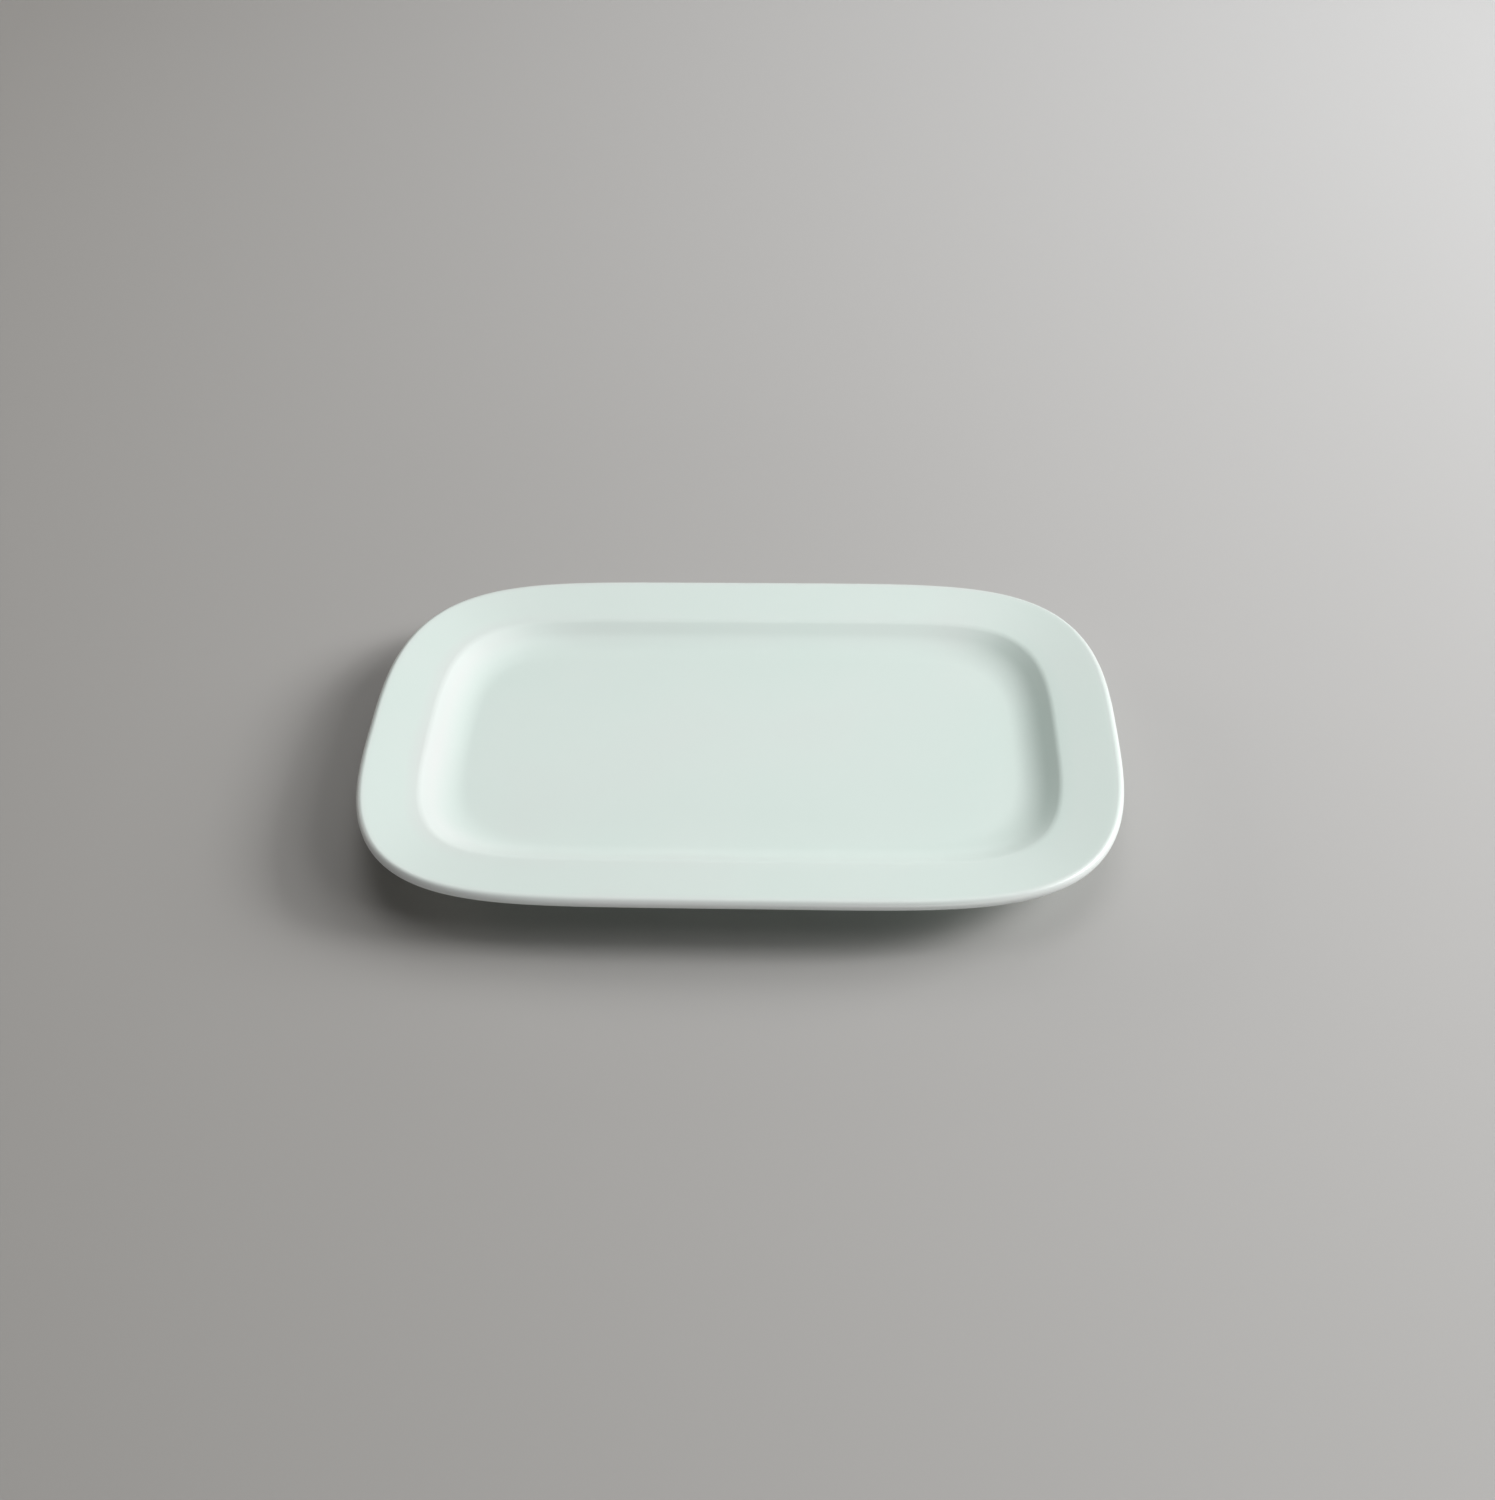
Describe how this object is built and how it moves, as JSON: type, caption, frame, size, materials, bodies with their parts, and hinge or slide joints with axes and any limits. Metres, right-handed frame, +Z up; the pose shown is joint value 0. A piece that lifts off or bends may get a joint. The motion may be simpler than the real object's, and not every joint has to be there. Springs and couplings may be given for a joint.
{
  "type": "serving platter",
  "caption": "Rounded rectangular ceramic platter with a broad sloping rim, a soft shoulder, a coved flat-floored well and a low foot ring, for serving food.",
  "frame": {"origin": "on the table under the platter's centre, at the middle of its outline", "axes": "+X along the length, +Y across the width, +Z up out of the well"},
  "size_m": [0.35, 0.225, 0.0314],
  "materials": {
    "stoneware": "matte",
    "glaze": "satin"
  },
  "bodies": {
    "root": {"stoneware_body": "stoneware", "face_glaze": "glaze", "base_glaze": "glaze"}
  },
  "joints": []
}
